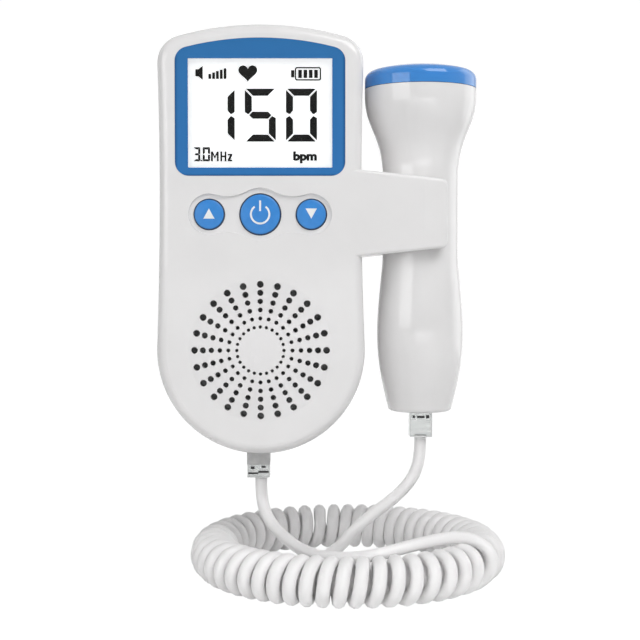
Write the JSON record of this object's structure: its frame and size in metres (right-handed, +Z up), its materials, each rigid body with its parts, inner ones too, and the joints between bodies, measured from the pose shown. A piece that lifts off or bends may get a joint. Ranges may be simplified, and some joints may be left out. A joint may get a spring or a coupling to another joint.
{
  "type": "fetal doppler monitor",
  "caption": "Handheld heartbeat monitor with an arched display, three round keys, a dotted speaker grille, and a probe held in a side arm on a curly cord.",
  "frame": {"origin": "on the middle line of the unit's flat back face, close to half way up the unit", "axes": "+X to the right of the display, towards the probe; +Y out of the back, away from the reader; +Z up, towards the display's top"},
  "size_m": [0.1091, 0.1002, 0.1719],
  "materials": {
    "white_case": "smooth glossy white ABS",
    "blue_trim": "smooth glossy blue",
    "blue_button": "satin blue",
    "clear_lens": "clear acrylic pane",
    "lcd": "liquid crystal cell",
    "white_plastic": "moulded white",
    "board_green": "solder resist",
    "black_plastic": "moulded black",
    "steel": "plain steel",
    "nickel": "nickel plated",
    "ferrite": "dark ceramic magnet",
    "cone_paper": "thin black film",
    "foam": "soft foam",
    "seal_rubber": "soft rubber",
    "piezo": "silvered piezo ceramic",
    "gold": "gold plated",
    "clear_plug": "clear polycarbonate",
    "cord_white": "smooth white PVC",
    "cell_sleeve": "plain printed sleeve"
  },
  "bodies": {
    "unit": {"front_shell": "white_case", "rear_shell": "white_case", "battery_cells": "cell_sleeve", "battery_contacts": "nickel", "battery_link": "nickel", "display_bezel": "blue_trim", "display_lens": "clear_lens", "lcd_glass": "lcd", "lcd_frame": "white_plastic", "backlight_plate": "white_plastic", "zebra_strip": "seal_rubber", "main_board": "board_green", "board_screws": "steel", "board_chips": "black_plastic", "board_capacitors": "cell_sleeve", "case_screws": "steel", "switch_bodies": "black_plastic", "speaker_gasket": "foam", "speaker_frame": "steel", "speaker_magnet": "ferrite", "speaker_cone": "cone_paper", "headphone_jack": "black_plastic", "unit_socket": "black_plastic", "unit_plug": "clear_plug", "unit_plug_contacts": "gold", "cord_tail_unit": "cord_white", "cord_curl": "cord_white", "cord_tail_probe": "cord_white"},
    "up_key": {"button_up": "blue_button", "switch_stem_up": "black_plastic"},
    "power_key": {"button_power": "blue_button", "switch_stem_power": "black_plastic"},
    "down_key": {"button_down": "blue_button", "switch_stem_down": "black_plastic"},
    "battery_door": {"battery_cover": "white_case"},
    "probe": {"probe_shell_front": "white_case", "probe_shell_rear": "white_case", "probe_cap": "blue_trim", "cap_seal": "seal_rubber", "crystal_transmit": "piezo", "crystal_receive": "piezo", "crystal_backing": "foam", "crystal_holder": "white_plastic", "probe_board": "board_green", "probe_chips": "black_plastic", "probe_leads": "seal_rubber", "probe_socket": "black_plastic", "probe_plug": "clear_plug", "probe_plug_contacts": "gold"}
  },
  "joints": [
    {"name": "up_press", "type": "slide", "parent": "unit", "child": "up_key", "axis": [0, 1, 0], "range_m": [0, 0.0005], "stiffness_N_per_m": 1500, "springref_m": -0.0003},
    {"name": "power_press", "type": "slide", "parent": "unit", "child": "power_key", "axis": [0, 1, 0], "range_m": [0, 0.0005], "stiffness_N_per_m": 1500, "springref_m": -0.0003},
    {"name": "down_press", "type": "slide", "parent": "unit", "child": "down_key", "axis": [0, 1, 0], "range_m": [0, 0.0005], "stiffness_N_per_m": 1500, "springref_m": -0.0003},
    {"name": "battery_cover_lift", "type": "slide", "parent": "unit", "child": "battery_door", "axis": [0, 1, 0], "range_m": [0, 0.025]},
    {"name": "probe_release", "type": "slide", "parent": "unit", "child": "probe", "axis": [1, 0, 0], "range_m": [0, 0.036], "deforming": ["cord_tail_probe"]}
  ]
}
